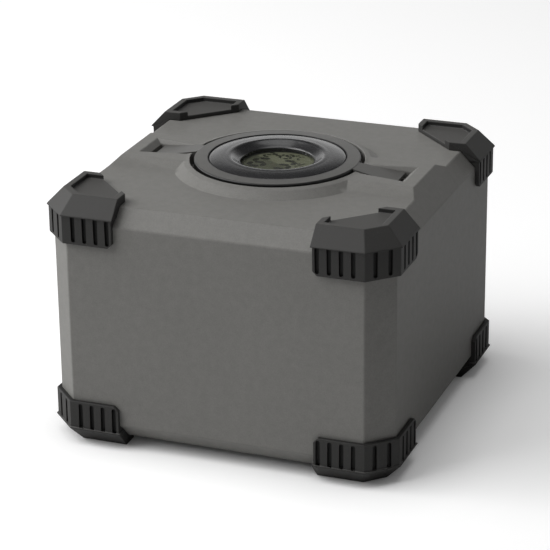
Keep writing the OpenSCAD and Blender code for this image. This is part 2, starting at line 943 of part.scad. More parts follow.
module basket_divider() {
    half = basket_in_r - seat_gap;
    low = basket_base + basket_floor_t;
    shoulder = basket_top - 6;
    grip_half = 9;
    hole_half = 5.5;
    hole_h = 5;
    color([0.88, 0.88, 0.86])
        translate([0, divider_t / 2, 0])
            rotate([90, 0, 0])
                linear_extrude(height = divider_t)
                    difference() {
                        polygon([
                            [-half, low], [half, low], [half, shoulder - 2], [half - 2, shoulder],
                            [grip_half + 2, shoulder], [grip_half, shoulder + 2],
                            [grip_half, grip_top - 3], [grip_half - 3, grip_top],
                            [-grip_half + 3, grip_top], [-grip_half, grip_top - 3],
                            [-grip_half, shoulder + 2], [-grip_half - 2, shoulder],
                            [-half + 2, shoulder], [-half, shoulder - 2]]);
                        translate([-hole_half, grip_top - 3 - hole_h])
                            square([2 * hole_half, hole_h]);
                    }
}

module canister_tub() {
    color([0.9, 0.9, 0.9])
        difference() {
            translate([0, 0, cup_floor])
                cylinder(r = lift_r, h = canister_h - canister_lid_t);
            translate([0, 0, cup_floor + canister_wall])
                cylinder(r = lift_r - canister_wall, h = canister_h);
        }
}

module desiccant_beads() {
    r = lift_r - canister_wall - seat_gap;
    plug_r = r - plug_wall - seat_gap;
    low = cup_floor + canister_wall;
    high = canister_top - canister_lid_t - plug_deep;
    color([0.85, 0.45, 0.15])
        rotate_extrude()
            polygon([
                [0, low], [r, low], [r, high - 0.3], [plug_r, high - 0.3],
                [plug_r - 1, high + 0.6], [0, high + 0.9]]);
}

module filter_disc() {
    t = 0.5;
    color([0.93, 0.93, 0.9])
        translate([0, 0, canister_top - canister_lid_t - t])
            cylinder(r = lift_r - canister_wall - plug_wall - 2 * seat_gap, h = t);
}

module canister_cover() {
    plug_r = lift_r - canister_wall - seat_gap / 2;
    bar_l = 14;
    bar_w = 2.6;
    vent_in = bar_l / 2 + 1.5;
    vent_out = lift_r - canister_wall - plug_wall - 2;
    vent_w = 1.6;
    color([0.9, 0.9, 0.9])
        difference() {
            union() {
                translate([0, 0, canister_top - canister_lid_t])
                    cylinder(r = lift_r, h = canister_lid_t);
                translate([0, 0, canister_top - canister_lid_t - plug_deep])
                    difference() {
                        cylinder(r = plug_r, h = plug_deep + canister_lid_t / 2);
                        translate([0, 0, -over])
                            cylinder(r = plug_r - plug_wall, h = plug_deep + over);
                    }
                translate([-bar_l / 2, -bar_w / 2, canister_top - canister_lid_t / 2])
                    cube([bar_l, bar_w, canister_lid_t / 2 + basket_foot - 0.5]);
            }
            for (i = [0 : vent_count - 1])
                rotate([0, 0, (i + 0.5) * 360 / vent_count])
                    translate([vent_in, -vent_w / 2, canister_top - canister_lid_t - over])
                        cube([vent_out - vent_in, vent_w, canister_lid_t + 2 * over]);
        }
}

body_shell();
base_plate();
base_screws();
cup_seat();
chamber_cup();
chamber_gasket();
bumper(corners[0], true);  // bumper_top_front_right
bumper(corners[1], true);  // bumper_top_front_left
bumper(corners[2], true);  // bumper_top_back_left
bumper(corners[3], true);  // bumper_top_back_right
bumper(corners[0], false);  // bumper_bottom_front_right
bumper(corners[1], false);  // bumper_bottom_front_left
bumper(corners[2], false);  // bumper_bottom_back_left
bumper(corners[3], false);  // bumper_bottom_back_right
lid_ring();
lid_seal();
hygrometer_bezel();
display_window();
lcd_panel();
hygrometer_housing();
circuit_board();
humidity_sensor();
button_cell(-1);  // button_cell_left
button_cell(1);  // button_cell_right
battery_cover();
hearing_aid_basket();
basket_floor();
basket_divider();
canister_tub();
desiccant_beads();
filter_disc();
canister_cover();
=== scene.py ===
# %% [markdown]
# # Hearing aid dryer
#
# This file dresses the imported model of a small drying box: a square moulded body
# with rubber corner bumpers, and a round winged lid that carries a hygrometer.
# The model comes in as a fixed frame. Pieces that need a softer shape than the
# construction solids are modelled here over them, and everything gets a material
# made of nodes. Run the cells from top to bottom.

import json
import random
from math import atan2, cos, pi, radians, sin

import bmesh
import bpy
from mathutils import Matrix, Quaternion, Vector
from mathutils.bvhtree import BVHTree


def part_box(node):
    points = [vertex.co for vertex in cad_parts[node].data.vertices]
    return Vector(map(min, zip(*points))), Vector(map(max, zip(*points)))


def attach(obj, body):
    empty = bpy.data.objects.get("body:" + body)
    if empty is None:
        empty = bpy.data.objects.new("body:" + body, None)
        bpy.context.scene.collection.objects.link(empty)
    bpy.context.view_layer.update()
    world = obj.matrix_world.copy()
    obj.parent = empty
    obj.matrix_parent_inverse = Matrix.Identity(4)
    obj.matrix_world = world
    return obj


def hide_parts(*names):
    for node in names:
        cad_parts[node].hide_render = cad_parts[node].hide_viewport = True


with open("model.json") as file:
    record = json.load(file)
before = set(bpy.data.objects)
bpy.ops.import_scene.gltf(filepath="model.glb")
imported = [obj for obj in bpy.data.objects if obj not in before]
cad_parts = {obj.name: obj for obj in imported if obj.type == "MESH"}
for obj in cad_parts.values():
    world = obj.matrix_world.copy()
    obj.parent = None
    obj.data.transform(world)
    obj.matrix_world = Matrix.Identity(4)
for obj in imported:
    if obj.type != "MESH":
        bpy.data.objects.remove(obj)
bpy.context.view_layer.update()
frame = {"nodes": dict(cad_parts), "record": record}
MM = 0.001
print("nodes:", len(frame["nodes"]))

# %% [markdown]
# ## The camera
#
# The photograph was taken with a long lens from the right and a little above.
# The camera stands where the box's edges and the lid's circles line up with it.
# A camera could be aimed with a constraint, but a matrix that is worked out once
# is easier to read and leaves nothing that another view has to undo.

# %% Camera at the photograph's view
def looking_from(azimuth, elevation, roll, distance, target):
    """Matrix of a camera at a distance from its target, with angles in degrees."""
    a = radians(azimuth)
    e = radians(elevation)
    back = Vector((sin(a) * cos(e), -cos(a) * cos(e), sin(e)))
    right = Vector((0, 0, 1)).cross(back).normalized()
    up = back.cross(right)
    turned = Matrix.Rotation(radians(roll), 3, back) @ Matrix((right, up, back)).transposed()
    return Matrix.Translation(Vector(target) + back * distance) @ turned.to_4x4()


camera = bpy.data.objects.new("camera", bpy.data.cameras.new("camera"))
bpy.context.scene.collection.objects.link(camera)
camera.matrix_world = looking_from(
    azimuth=21.053, elevation=21.769, roll=-0.679, distance=0.81799,
    target=(-0.0014, 0, 0.04426))
camera.data.sensor_width = 36
camera.data.lens = 156.32
camera.data.clip_start = 0.05
camera.data.clip_end = 20
bpy.context.scene.camera = camera
bpy.context.scene.view_settings.view_transform = "Standard"
print("camera at", [round(c, 3) for c in camera.location], "lens", camera.data.lens)

# %% [markdown]
# ## Writing materials as expressions
#
# A node tree is easier to read as a formula than as a list of links. A Flow
# holds one socket and adds a Math node for each Python operator. Nodes holds a
# whole tree, and its method node adds any other node. A Finish is the tree of a
# material. Colours are mixed with a Mix node, because Math nodes would turn
# them grey.

# %% Sockets that work like numbers
class Flow:
    """A socket of a node tree that can be added, multiplied and so on."""

    def __init__(self, nodes, socket):
        self.nodes = nodes
        self.socket = socket

    def math(self, operation, a, b):
        return self.nodes.node("ShaderNodeMath", {"operation": operation}, {0: a, 1: b})

    def __add__(self, other):
        return self.math("ADD", self, other)

    def __radd__(self, other):
        return self.math("ADD", other, self)

    def __sub__(self, other):
        return self.math("SUBTRACT", self, other)

    def __rsub__(self, other):
        return self.math("SUBTRACT", other, self)

    def __mul__(self, other):
        return self.math("MULTIPLY", self, other)

    def __rmul__(self, other):
        return self.math("MULTIPLY", other, self)

    def __pow__(self, other):
        return self.math("POWER", self, other)

    def largest(self, other):
        return self.math("MAXIMUM", self, other)

    def step(self, low, high):
        """0 below low, 1 above high, and a smooth rise between them."""
        return self.nodes.node(
            "ShaderNodeMapRange", {"interpolation_type": "SMOOTHSTEP"},
            {"Value": self, "From Min": low, "From Max": high})


# %% The one method for adding nodes
class Nodes:
    """A node tree that grows by expressions."""

    def __init__(self, tree):
        self.tree = tree

    def node(self, kind, settings, values, out=0):
        """Adds a node: its settings first, then its sockets' values or links."""
        node = self.tree.nodes.new(kind)
        for key, value in settings.items():
            setattr(node, key, value)
        for key, value in values.items():
            if isinstance(value, Flow):
                self.tree.links.new(value.socket, node.inputs[key])
            else:
                node.inputs[key].default_value = value
        return Flow(self, node.outputs[out])

    def ray(self, kind):
        """1 for rays of one kind, such as Is Camera Ray, else 0."""
        return self.node("ShaderNodeLightPath", {}, {}, out=kind)


# %% A material on the Principled shader
class Finish(Nodes):
    """A material whose sockets are fed by expressions."""

    def __init__(self, name, **constants):
        self.material = bpy.data.materials.new(name)
        self.material.use_nodes = True
        super().__init__(self.material.node_tree)
        self.shader = self.tree.nodes["Principled BSDF"]
        self.place = self.node("ShaderNodeTexCoord", {}, {}, out="Object")
        self.feed(**constants)

    def feed(self, **sockets):
        """Sets sockets of the shader; an underscore in a name stands for a space."""
        for name, value in sockets.items():
            socket = self.shader.inputs[name.replace("_", " ")]
            if isinstance(value, Flow):
                self.tree.links.new(value.socket, socket)
            elif isinstance(value, (tuple, list)):
                socket.default_value = (*value, 1)
            else:
                socket.default_value = value

    def mapped(self, scale, turn=(0, 0, 0)):
        """Object coordinates that are turned and stretched."""
        return self.node(
            "ShaderNodeMapping", {"vector_type": "POINT"},
            {"Vector": self.place, "Rotation": turn, "Scale": scale})

    def noise(self, size, detail=3.0, rough=0.55, place=None, warp=0.0):
        """Cloudy noise from 0 to 1 whose patches are about size millimetres wide."""
        return self.node(
            "ShaderNodeTexNoise", {},
            {"Vector": place or self.place, "Scale": 1 / (size * MM), "Detail": detail,
             "Roughness": rough, "Distortion": warp}, out="Fac")

    def mix(self, amount, first, second):
        """Colour between two colours."""
        return self.node(
            "ShaderNodeMix", {"data_type": "RGBA"},
            {0: amount, 6: self.colour(first), 7: self.colour(second)}, out=2)

    def colour(self, value):
        return value if isinstance(value, Flow) else (*value, 1)

    def bump(self, height, depth, strength=1.0):
        """Feeds a height from 0 to 1, depth millimetres high, to the normal."""
        self.feed(Normal=self.node(
            "ShaderNodeBump", {},
            {"Height": height, "Distance": depth * MM, "Strength": strength}, out="Normal"))


def shade(colour, factor):
    """The same colour, darker or lighter."""
    return tuple(min(1.0, c * factor) for c in colour)


# %% [markdown]
# ## Body plastic
#
# The body, the lid and the base are moulded in a warm grey plastic with a fine
# spark eroded grain, which shows as a faint mottle and keeps highlights broad.
# An image of such a grain would tile, so two sizes of noise make it instead. The
# fine one also drives the bump, and a slow one changes the tone a little. The
# lid is darker and smoother than the body. The rims of its ring beside the gaps
# get painted shade, a near black that stands for the shade in the gaps. How far
# a point is from the lid's axis says where a rim is.

# %% Grained grey plastic
GREY = (0.192, 0.189, 0.179)


def grained_plastic(name, colour, grain=0.45, mottle=0.16, roughness=0.5, gloss=0.25, gap_shade=None):
    finish = Finish(name, IOR=1.46, Specular_IOR_Level=gloss)
    fine = finish.noise(grain, detail=2.0)
    coarse = finish.noise(grain * 6, detail=4.0, rough=0.65)
    slow = finish.noise(45, detail=1.0)
    tone = fine * 0.45 + coarse * 0.4 + slow * 0.15
    spread = (tone - 0.5) * 2.2 + 0.5
    grained = finish.mix(spread, shade(colour, 1 - mottle), shade(colour, 1 + mottle))
    # painted shade: where the mask is 1, the colour turns near black
    if gap_shade:
        grained = finish.mix(gap_shade(finish), grained, shade(colour, 0.06))
    finish.feed(
        Base_Color=grained,
        Roughness=fine * 0.14 + (roughness - 0.07))
    finish.bump(fine * 0.7 + coarse * 0.3, 0.035, 0.5)
    return finish.material


# %% Painted shade on the rims of the lid's ring
BEZEL_GAP = 0.3 * MM
WING_HALF = 3.3 * MM


def ring_gap_shade(finish):
    """1 on the ring's rims beside the gaps, where shade is painted, but not on the wings."""
    ring_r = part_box("lid_ring")[1].y
    bore_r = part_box("hygrometer_bezel")[1].x + BEZEL_GAP
    x, y = (
        finish.node("ShaderNodeSeparateXYZ", {}, {"Vector": finish.place}, out=axis)
        for axis in "XY")
    reach = (x * x + y * y) ** 0.5
    inner = 1 - reach.step(bore_r + 0.15 * MM, bore_r + 0.4 * MM)
    outer = reach.step(ring_r - 0.42 * MM, ring_r - 0.22 * MM)
    wing = reach.step(ring_r + 0.02 * MM, ring_r + 0.1 * MM)
    beside = (y * y).step(WING_HALF ** 2, (WING_HALF + 0.3 * MM) ** 2)
    return inner + outer * (1 - wing) * beside


body_plastic = grained_plastic("body_plastic", GREY)
lid_plastic = grained_plastic(
    "lid_plastic", shade(GREY, 0.5), roughness=0.4, gloss=0.45, gap_shade=ring_gap_shade)
base_plastic = grained_plastic("base_plastic", shade(GREY, 0.9), mottle=0.12)
print("made", body_plastic.name, lid_plastic.name, base_plastic.name)

# %% [markdown]
# ## Rubber
#
# The bumpers are a charcoal rubber, matt and slightly dusty. Dust sits as pale
# specks and a thin haze, so a high threshold on a noise picks out the specks and
# a slow noise lifts the haze. Faces that look up are made much paler as well,
# and the grooves and recesses get painted shade: they are made near black. Two
# numbers on each face of a bumper, upward and sheltered, say where. They are
# worked out with the piece. The seals are nearly the same rubber without dust.

# %% Charcoal rubber
def rubber(name, colour, dust=1.0, roughness=0.62):
    finish = Finish(name, IOR=1.5, Specular_IOR_Level=0.3)
    haze = finish.noise(14, detail=3.0)
    grain = finish.noise(0.5, detail=2.0)
    specks = finish.noise(0.9, detail=1.0).step(0.68, 0.76)
    upward, sheltered = (
        finish.node("ShaderNodeAttribute", {"attribute_name": label}, {}, out="Fac")
        for label in ("upward", "sheltered"))
    pale = (haze * 0.12 + specks * 0.14 + upward ** 3 * 0.8) * dust + (grain - 0.5) * 0.2
    dusty = finish.mix(pale, colour, shade(colour, 3.2))
    # painted shade: sheltered faces turn near black; faces that look up are paler
    finish.feed(
        Base_Color=finish.mix(sheltered.step(0.2, 0.5) * 0.8, dusty, shade(colour, 0.1)),
        Roughness=grain * 0.12 + haze * 0.08 + (roughness - 0.1))
    finish.bump(grain, 0.03, 0.5)
    return finish.material


bumper_rubber = rubber("bumper_rubber", (0.0245, 0.024, 0.023))
seal_rubber = rubber("seal_rubber", (0.018, 0.018, 0.018), dust=0.15, roughness=0.4)
print("made", bumper_rubber.name, seal_rubber.name)

# %% [markdown]
# ## Copies of the construction solids with soft edges
#
# A moulded part has no knife edges: each catches a thin line of light. The CAD
# nodes are loose triangles with sharp edges, and their meshes stay as they are,
# so a copy of each is merged and its flat triangles are joined.

# %% Merge a node's triangles
def merged_copy(node):
    """A node's mesh as one closed surface with its flat parts joined."""
    shape = bmesh.new()
    shape.from_mesh(frame["nodes"][node].data)
    bmesh.ops.remove_doubles(shape, verts=shape.verts, dist=0.002 * MM)
    bmesh.ops.dissolve_limit(
        shape, angle_limit=radians(0.6), verts=shape.verts, edges=shape.edges,
        use_dissolve_boundaries=False)
    return shape


# %% [markdown]
# ## Paler tops and painted shade in grooves
#
# Faces that look up are made paler, and grooves get painted shade. An Ambient
# Occlusion node could find a groove, but it would also see the other pieces, and
# change as they move. So each face of a bumper's copy gets two numbers: how far
# it looks up, and the share of a ring of short leaning rays that meet the bumper
# again.

# %% Note two numbers on each face
def note_tops_and_shelter(shape, reach=2.5, tilt=55, count=12):
    """Writes upward and sheltered on each face; reach in millimetres, tilt in degrees."""
    tree = BVHTree.FromBMesh(shape)
    upward = shape.faces.layers.float.new("upward")
    sheltered = shape.faces.layers.float.new("sheltered")
    for face in shape.faces:
        start = face.calc_center_median() + face.normal * 0.05 * MM
        leaning = face.normal.copy()
        leaning.rotate(Quaternion(face.normal.orthogonal(), radians(tilt)))
        met = 0
        for i in range(count):
            ray = leaning.copy()
            ray.rotate(Quaternion(face.normal, 2 * pi * i / count))
            met += tree.ray_cast(start, ray, reach * MM)[0] is not None
        face[upward] = max(0.0, face.normal.z)
        face[sheltered] = met / count


# %% [markdown]
# ## Pieces with rounded edges
#
# A Bevel modifier rounds only the edges that carry a weight, and each kind of
# piece has its own rule for the weights. A Weighted Normal modifier then keeps
# the flats looking flat. The other way, a Bevel shader node, would not be in the
# exported model.

# %% Make a piece that rides on a body
def put(name, shape, body, material, smooth_below=32):
    """Makes an object of a bmesh that rides on a body and wears a material."""
    mesh = bpy.data.meshes.new(name)
    for edge in shape.edges:
        edge.smooth = len(edge.link_faces) == 2 and edge.calc_face_angle(0) < radians(smooth_below)
    for face in shape.faces:
        face.smooth = True
    shape.to_mesh(mesh)
    shape.free()
    mesh.materials.append(material)
    piece = bpy.data.objects.new(name, mesh)
    bpy.context.scene.collection.objects.link(piece)
    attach(piece, body)
    return piece


# %% A node's copy with rounded edges
SHARP = radians(18)


def softened(name, node, body, material, width, weight):
    """A node's copy whose edges are rounded by width times the weight of each."""
    shape = merged_copy(node)
    layer = shape.edges.layers.float.new("bevel_weight_edge")
    for edge in shape.edges:
        if len(edge.link_faces) == 2 and edge.calc_face_angle(0) > SHARP:
            edge[layer] = weight(edge)
    if material is bumper_rubber:
        note_tops_and_shelter(shape)
    piece = put(name, shape, body, material)
    bevel = piece.modifiers.new("round", "BEVEL")
    bevel.limit_method = "WEIGHT"
    bevel.width = width * MM
    bevel.segments = 2
    bevel.use_clamp_overlap = False
    normals = piece.modifiers.new("flats", "WEIGHTED_NORMAL")
    normals.keep_sharp = True
    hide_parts(node)
    print(name, len(piece.data.polygons), "faces before rounding")
    return piece


# %% [markdown]
# ## The body's shell
#
# Only the outside shows, so only the outside's long edges are rounded: the
# octagon's folds, the band, the boss and the pocket's lip. Edges inside the
# shell and round the peg holes keep their sharp form.

# %% Shell with rounded outer edges
def middle_of(edge):
    a, b = edge.verts
    return (a.co + b.co) / 2 / MM


def shell_weight(edge, wall_from=53, chamfer_from=103, rim_z=5, boss_z=84.5, shortest=0.7):
    """1 on the outer faces, less on the boss, 0 inside; all limits in millimetres."""
    m = middle_of(edge)
    outside = max(abs(m.x), abs(m.y)) > wall_from or abs(m.x) + abs(m.y) > chamfer_from
    if edge.calc_length() / MM < shortest:
        return 0
    if outside and m.z > rim_z:
        return 1
    return 0.7 if m.z > boss_z else 0


softened("shell", "body_shell", "base", body_plastic, 0.4, shell_weight)

# %% [markdown]
# ## The bumpers
#
# Eight rubber bumpers hug the corners. The same rule softens all of them: the
# long edges of the sloped faces and of the rim get most of the width, and the
# edges of the ribs get a small share, so that neighbours don't collide.

# %% Bumpers with soft edges
def bumper_weight(edge, shortest=0.6, rib_length=3):
    length = edge.calc_length() / MM
    if length < shortest:
        return 0
    upright = all(abs(face.normal.z) < 0.1 for face in edge.link_faces)
    return 0.4 if upright or length < rib_length else 0.8


for end in ("top", "bottom"):
    for corner in ("front_right", "front_left", "back_left", "back_right"):
        softened(
            f"rubber_{end}_{corner}", f"bumper_{end}_{corner}", "base", bumper_rubber,
            0.35, bumper_weight)

# %% [markdown]
# ## The lid's ring and wings
#
# The ring is turned and the wings are flat straps that slope down to their
# tips. The lid's copy is softened in the same way, but less, because its edges
# are crisp. The skirt under it hardly shows and is left sharp.

# %% Lid with soft edges
def lid_weight(edge, skirt_top=83, shortest=0.5):
    return 0 if middle_of(edge).z < skirt_top or edge.calc_length() / MM < shortest else 1


softened("lid", "lid_ring", "lid", lid_plastic, 0.14, lid_weight)

# %% [markdown]
# ## The hygrometer's bezel
#
# The bezel is one smooth satin moulding: it rises from its edge to a round
# crest and dips into a bowl round the display, which lies deep behind a short
# upright wall. A lathe is the natural way: the outline is spun about the upright
# axis with use_merge, which closes the seam.

# %% Spin an outline into a closed ring
def turned(outline, steps=144):
    """Spins points (radius, height) in millimetres about the upright axis."""
    shape = bmesh.new()
    verts = [shape.verts.new((r * MM, 0, z * MM)) for r, z in outline]
    edges = [shape.edges.new(pair) for pair in zip(verts, verts[1:] + verts[:1])]
    bmesh.ops.spin(
        shape, geom=verts + edges, cent=(0, 0, 0), axis=(0, 0, 1), angle=2 * pi,
        steps=steps, use_merge=True, use_duplicate=False)
    bmesh.ops.remove_doubles(shape, verts=shape.verts, dist=0.001 * MM)
    bmesh.ops.recalc_face_normals(shape, faces=shape.faces)
    return shape


# %% Points between two points of an outline
def eased(start, end, bow, count):
    """Points from start to end that bow upward by a height at their middle."""
    made = []
    for i in range(1, count):
        t = i / count
        made.append((
            start[0] + (end[0] - start[0]) * t,
            start[1] + (end[1] - start[1]) * t + bow * 4 * t * (1 - t)))
    return made


# %% The bezel's outline, from its edge over the crest into the bowl
low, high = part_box("hygrometer_bezel")
foot_z, top_z, bezel_r = low.z / MM, high.z / MM, high.x / MM
low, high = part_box("display_window")
glass_foot, glass_top, glass_r = low.z / MM, high.z / MM, high.x / MM
view_r = glass_r - 1.2
seat_r = view_r + 1.3
spigot_r = 19.5
spigot_bore = 18.7
# the flange ends a hair above the lid's step, so that the two share no face
step_z = top_z - 2.5 + 0.02
rim_z = top_z - 2.2
edge_top = (bezel_r - 0.35, top_z - 0.85)
crest_out = (17.4, top_z - 0.1)
crest_in = (15.6, top_z - 0.12)
bowl_foot = (view_r + 0.45, rim_z + 0.45)
outline = [
    (bezel_r, step_z), (bezel_r, top_z - 1.2), (bezel_r - 0.1, top_z - 0.98), edge_top,
    *eased(edge_top, crest_out, 0.16, 10),
    crest_out, (16.9, top_z - 0.02), (16.4, top_z), (16.0, top_z - 0.03), crest_in,
    *eased(crest_in, bowl_foot, -0.1, 8),
    bowl_foot, (view_r + 0.14, rim_z + 0.22), (view_r, rim_z), (view_r, glass_top),
    (seat_r, glass_top), (seat_r, glass_foot), (spigot_bore, glass_foot),
    (spigot_bore, foot_z), (spigot_r, foot_z), (spigot_r, step_z)]
print("bezel outline of", len(outline), "points")

# %% [markdown]
# ## Satin plastic of the bezel
#
# The bezel shines softly, like dark plastic with a thin clear skin. Perfect gloss
# would look like glass, so the skin is a weak and rough coat, fine rubbing marks
# raise the roughness in streaks, and a very low wave keeps the reflections from
# being ruler straight.

# %% Polished dark plastic
def polished_plastic(name, colour, roughness):
    finish = Finish(name, IOR=1.5, Coat_Roughness=0.2)
    rubbed = finish.noise(3.5, detail=5.0, place=finish.mapped(scale=(1, 3, 1)))
    specks = finish.noise(0.5, detail=1.0).step(0.7, 0.78)
    wave = finish.noise(16, detail=1.0)
    finish.feed(
        Base_Color=finish.mix(specks * 0.25 + rubbed * 0.2, colour, shade(colour, 2.2)),
        Roughness=rubbed * 0.14 + specks * 0.15 + (roughness - 0.07),
        Coat_Weight=rubbed * -0.15 + 0.3)
    finish.bump(wave * 0.9 + specks * 0.1, 0.03, 0.35)
    return finish.material


bezel_gloss = polished_plastic("bezel_gloss", (0.022, 0.022, 0.023), 0.26)
bezel = put("bezel", turned(outline), "hygrometer", bezel_gloss)
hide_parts("hygrometer_bezel")
print("bezel with", len(bezel.data.polygons), "faces")

# %% [markdown]
# ## The display
#
# A reflective display is an olive plate with dark digits. The digits are thin
# plates cut to the shape of display segments, so each is a bar with pointed
# ends, laid out by the usual seven places. They are only generic numbers: a
# temperature above and a humidity below.

# %% One pointed bar and the seven places of a digit
def add_bar(shape, start, end, width, z, thick=0.04):
    """Adds a flat bar with pointed ends between two points, in millimetres."""
    a, b = Vector(start), Vector(end)
    way = b - a
    made = bmesh.ops.create_grid(shape, x_segments=1, y_segments=1, size=0.5 * MM)
    verts = made["verts"]
    bmesh.ops.scale(shape, vec=(way.length, width, 1), verts=verts)
    ends = bmesh.ops.bevel(
        shape, geom=verts, affect="VERTICES", offset=width * 0.45 * MM, segments=1,
        profile=0.5, material=-1)
    faces = list({face for vert in ends["verts"] for face in vert.link_faces})
    raised = bmesh.ops.extrude_face_region(shape, geom=faces)["geom"]
    top = [item for item in raised if isinstance(item, bmesh.types.BMVert)]
    bmesh.ops.translate(shape, vec=(0, 0, thick * MM), verts=top)
    verts = list({vert for face in faces for vert in face.verts if face.is_valid} | set(top))
    bmesh.ops.rotate(
        shape, cent=(0, 0, 0), matrix=Matrix.Rotation(atan2(way.y, way.x), 3, "Z"),
        verts=verts)
    middle = (a + b) / 2
    bmesh.ops.translate(shape, vec=(middle.x * MM, middle.y * MM, z * MM), verts=verts)


PLACES = {
    "a": ((0.1, 2), (0.9, 2)), "b": ((1, 1.9), (1, 1.1)), "c": ((1, 0.9), (1, 0.1)),
    "d": ((0.1, 0), (0.9, 0)), "e": ((0, 0.1), (0, 0.9)), "f": ((0, 1.1), (0, 1.9)),
    "g": ((0.1, 1), (0.9, 1))}
DIGITS = {
    "2": "abged", "3": "abgcd", "4": "fgbc", "6": "afgedc", "9": "abcdfg", "C": "adef", "o": "abfg"}


def add_digit(shape, sign, at, size, width, z):
    """Adds a digit whose lower left corner is at a point; size is (w, h)."""
    lean = 0.14 * size[1]
    for place in DIGITS[sign]:
        ends = [
            (at[0] + size[0] * u + lean * v / 2, at[1] + size[1] * v / 2)
            for u, v in PLACES[place]]
        add_bar(shape, ends[0], ends[1], width, z)


# %% The readings on the display
digit_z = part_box("lcd_panel")[1].z / MM + 0.01
digits = bmesh.new()
# temperature: three digits and a point, then the degree ring and its letter
for sign, x in (("2", -7.7), ("4", -4.4), ("9", -0.6)):
    add_digit(digits, sign, (x, 6.3), (2.4, 4.2), 0.95, digit_z)
add_bar(digits, (-1.5, 6.4), (-1.2, 6.4), 0.6, digit_z)
add_digit(digits, "o", (2.8, 8.6), (0.9, 2.2), 0.4, digit_z)
add_digit(digits, "C", (4.4, 6.6), (1.5, 3.2), 0.55, digit_z)
# humidity: two large digits, then the slash and the two rings of a percent sign
for sign, x in (("6", -9.6), ("3", -0.7)):
    add_digit(digits, sign, (x, -3.8), (4.8, 8.1), 1.85, digit_z)
add_bar(digits, (6.2, -0.7), (8.6, 3.5), 0.5, digit_z)
for x, y in ((6.1, 1.3), (8.0, -1.3)):
    add_digit(digits, "o", (x, y), (0.8, 1.7), 0.4, digit_z)
bmesh.ops.recalc_face_normals(digits, faces=digits.faces)
print("display bars:", len(digits.faces), "faces")

# %% Display materials
def display_face(name, colour):
    finish = Finish(name, IOR=1.5, Specular_IOR_Level=0.08)
    cloth = finish.noise(0.25, detail=1.0)
    slow = finish.noise(9, detail=2.0)
    finish.feed(
        Base_Color=finish.mix(slow * 0.7 + cloth * 0.3, shade(colour, 0.86), shade(colour, 1.12)),
        Roughness=cloth * 0.1 + 0.35)
    return finish.material


def display_ink(name, colour):
    finish = Finish(name, IOR=1.5, Specular_IOR_Level=0.08)
    patchy = finish.noise(1.2, detail=2.0)
    finish.feed(
        Base_Color=finish.mix(patchy, shade(colour, 0.8), shade(colour, 1.4)),
        Roughness=patchy * 0.1 + 0.32)
    return finish.material


lcd_face = display_face("lcd_face", (0.13, 0.137, 0.088))
lcd_ink = display_ink("lcd_ink", (0.008, 0.009, 0.004))
readings = put("display_readings", digits, "hygrometer", lcd_ink)
print("readings with", len(readings.data.polygons), "faces")

# %% [markdown]
# ## The display's window
#
# A clear window lies over the display. Real glass would need refraction, which
# is slow and doesn't survive the export, so the window is mostly see-through by
# alpha, and only its glint and a trace of dust remain.

# %% Clear window
def clear_window(name, colour):
    finish = Finish(name, Base_Color=colour, IOR=1.5)
    dust = finish.noise(2.5, detail=4.0).step(0.5, 0.8)
    finish.feed(Alpha=dust * 0.03 + 0.05, Roughness=dust * 0.1 + 0.06)
    return finish.material


window_clear = clear_window("window_clear", (0.3, 0.31, 0.29))
print("made", window_clear.name)

# %% [markdown]
# ## Plastics, paper and beads inside the box
#
# The inside pieces only show when the lid is lifted. The cup, the basket and
# the canister are pale satin plastics with faint flow marks. The filter is a
# felt of fibres, which stretched noise in two directions imitates, and the
# beads of desiccant are orange with lighter and darker ones among them. Each
# bump of the bead pattern also darkens towards its rim, as painted shade between
# the beads. The housing of the meter is the same kind of plastic in near black.

# %% Satin plastic with flow marks
def satin_plastic(name, colour, roughness, flow=(1, 1, 6)):
    finish = Finish(name, IOR=1.48)
    marks = finish.noise(22, detail=3.0, place=finish.mapped(scale=flow), warp=0.6)
    grain = finish.noise(0.7, detail=2.0)
    finish.feed(
        Base_Color=finish.mix(marks * 0.7 + grain * 0.3, shade(colour, 0.9), shade(colour, 1.06)),
        Roughness=marks * 0.1 + grain * 0.08 + (roughness - 0.09))
    finish.bump(grain, 0.012, 0.4)
    return finish.material


cup_plastic = satin_plastic("cup_plastic", (0.6, 0.6, 0.575), 0.42)
basket_plastic = satin_plastic("basket_plastic", (0.74, 0.74, 0.71), 0.36)
canister_plastic = satin_plastic("canister_plastic", (0.76, 0.76, 0.75), 0.4, (6, 6, 1))
meter_plastic = satin_plastic("meter_plastic", (0.024, 0.024, 0.026), 0.4)
print("made", cup_plastic.name, basket_plastic.name, canister_plastic.name, meter_plastic.name)

# %% Felt of the filter
def felt(name, colour):
    finish = Finish(name, Sheen_Weight=0.3, Sheen_Roughness=0.5)
    along, across = (
        finish.noise(0.5, detail=3.0, place=finish.mapped(scale, turn), warp=1.0)
        for scale, turn in (((1, 0.12, 1), (0, 0, 0)), ((0.12, 1, 1), (0, 0, 0.5))))
    fibres = along * 0.5 + across * 0.5
    finish.feed(
        Base_Color=finish.mix(fibres.step(0.35, 0.65), shade(colour, 0.82), colour),
        Roughness=fibres * 0.1 + 0.82)
    finish.bump(fibres, 0.12, 0.7)
    return finish.material


filter_paper = felt("filter_paper", (0.82, 0.82, 0.79))
print("made", filter_paper.name)

# %% Desiccant beads
def bead_gel(name, colour):
    finish = Finish(name, IOR=1.45)
    each = finish.node(
        "ShaderNodeTexVoronoi", {"feature": "F1"},
        {"Vector": finish.place, "Scale": 1 / (3.4 * MM)}, out="Distance")
    cloud = finish.noise(3.0, detail=2.0)
    # painted shade: darker away from each cell's middle, between the bumps of the beads
    finish.feed(
        Base_Color=finish.mix(cloud * 0.6 + each * 0.4, shade(colour, 1.3), shade(colour, 0.6)),
        Roughness=cloud * 0.12 + 0.2)
    finish.bump(1 - each, 0.5, 0.6)
    return finish.material


